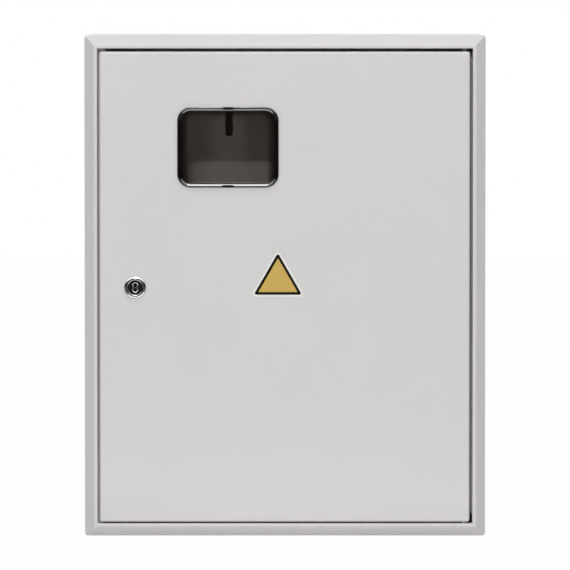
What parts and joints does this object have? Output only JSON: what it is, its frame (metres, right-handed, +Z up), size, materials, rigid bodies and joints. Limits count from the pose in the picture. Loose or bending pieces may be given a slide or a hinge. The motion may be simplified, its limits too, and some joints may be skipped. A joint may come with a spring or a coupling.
{
  "type": "electric meter box",
  "caption": "Wall-mounted sheet-steel electric meter box with a hinged inset door, smoked meter window, cam lock, meter plate, breaker rail behind a cover, and terminal bars.",
  "frame": {"origin": "on the wall plane, midway between the four wall holes", "axes": "+X to the right seen from the front, +Y into the wall, +Z up"},
  "size_m": [0.4, 0.1678, 0.5],
  "materials": {
    "painted_steel": "light grey powder coat, semi-gloss",
    "galvanised_steel": "hot-dip galvanised",
    "zinc_steel": "bright zinc plate",
    "smoked_polycarbonate": "clear smoked moulding",
    "chrome_plate": "polished chrome plate",
    "black_zinc": "black coated zinc casting",
    "brass": "drawn brass",
    "blue_polyamide": "moulded",
    "green_polyamide": "moulded"
  },
  "bodies": {
    "cabinet": {"body_shell": "painted_steel", "hinge_pin_upper": "zinc_steel", "hinge_pin_lower": "zinc_steel", "meter_plate": "painted_steel", "frame_bracket_left": "galvanised_steel", "frame_bracket_right": "galvanised_steel", "din_rail": "galvanised_steel", "rail_screws": "zinc_steel", "breaker_cover": "painted_steel", "cover_screws": "zinc_steel", "neutral_bar": "brass", "neutral_bar_supports": "blue_polyamide", "neutral_bar_screws": "zinc_steel", "earth_bar": "brass", "earth_bar_supports": "green_polyamide", "earth_bar_screws": "zinc_steel", "panel_studs": "zinc_steel", "panel_nuts": "zinc_steel", "earth_stud": "zinc_steel", "earth_nut": "zinc_steel"},
    "door": {"door_panel": "painted_steel", "window_pane": "smoked_polycarbonate", "lock_body": "chrome_plate", "lock_nut": "zinc_steel", "door_earth_stud": "zinc_steel", "door_earth_nut": "zinc_steel"},
    "lock_core": {"lock_plug": "black_zinc", "key_guide": "chrome_plate", "lock_cam": "zinc_steel", "cam_washer": "zinc_steel", "cam_screw": "zinc_steel"}
  },
  "joints": [
    {"name": "door_hinge", "type": "hinge", "parent": "cabinet", "child": "door", "pos_m": [0.1785, -0.1605, 0], "axis": [0, 0, 1], "range_deg": [0, 115]},
    {"name": "lock_turn", "type": "hinge", "parent": "door", "child": "lock_core", "pos_m": [-0.1493, -0.165, -0.0011], "axis": [0, 1, 0], "range_deg": [0, 90]}
  ]
}
